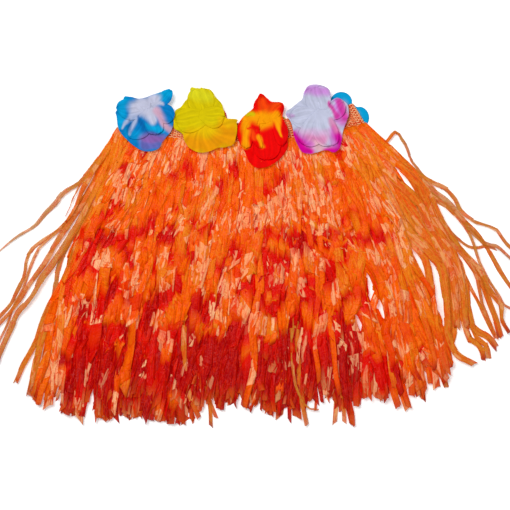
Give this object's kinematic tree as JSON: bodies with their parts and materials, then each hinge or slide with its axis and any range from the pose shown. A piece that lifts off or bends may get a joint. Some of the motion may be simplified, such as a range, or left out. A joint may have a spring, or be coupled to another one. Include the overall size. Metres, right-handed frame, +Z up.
{
  "type": "grass skirt",
  "caption": "Child's hula skirt laid flat, with a fringe of cut plastic ribbon on a knitted waistband trimmed with fabric flowers.",
  "frame": {"origin": "on the surface it lies on, under the middle of the footprint", "axes": "+Z up from the surface, +Y towards the waist, +X to the wearer's left as the front faces up"},
  "size_m": [0.7248, 0.4556, 0.0293],
  "materials": {
    "knit_band": "knitted plastic ribbon, openwork",
    "ribbon": "thin shiny crinkled plastic ribbon, half see-through",
    "petal_blue": "thin dyed polyester, pale at the throat",
    "petal_yellow": "thin dyed polyester",
    "petal_red": "thin dyed polyester, yellow at the throat",
    "petal_purple": "thin dyed polyester, pale at the throat"
  },
  "bodies": {
    "root": {"waistband_front": "knit_band", "waistband_back": "knit_band", "fringe_front_upper": "ribbon", "fringe_front_lower": "ribbon", "fringe_back_upper": "ribbon", "fringe_back_lower": "ribbon", "flower_blue_outer": "petal_blue", "flower_blue_inner": "petal_blue", "flower_yellow_outer": "petal_yellow", "flower_yellow_inner": "petal_yellow", "flower_red_outer": "petal_red", "flower_red_inner": "petal_red", "flower_purple_outer": "petal_purple", "flower_purple_inner": "petal_purple", "flower_back_blue": "petal_blue", "flower_back_yellow": "petal_yellow", "flower_back_red": "petal_red", "flower_back_purple": "petal_purple"}
  },
  "joints": []
}
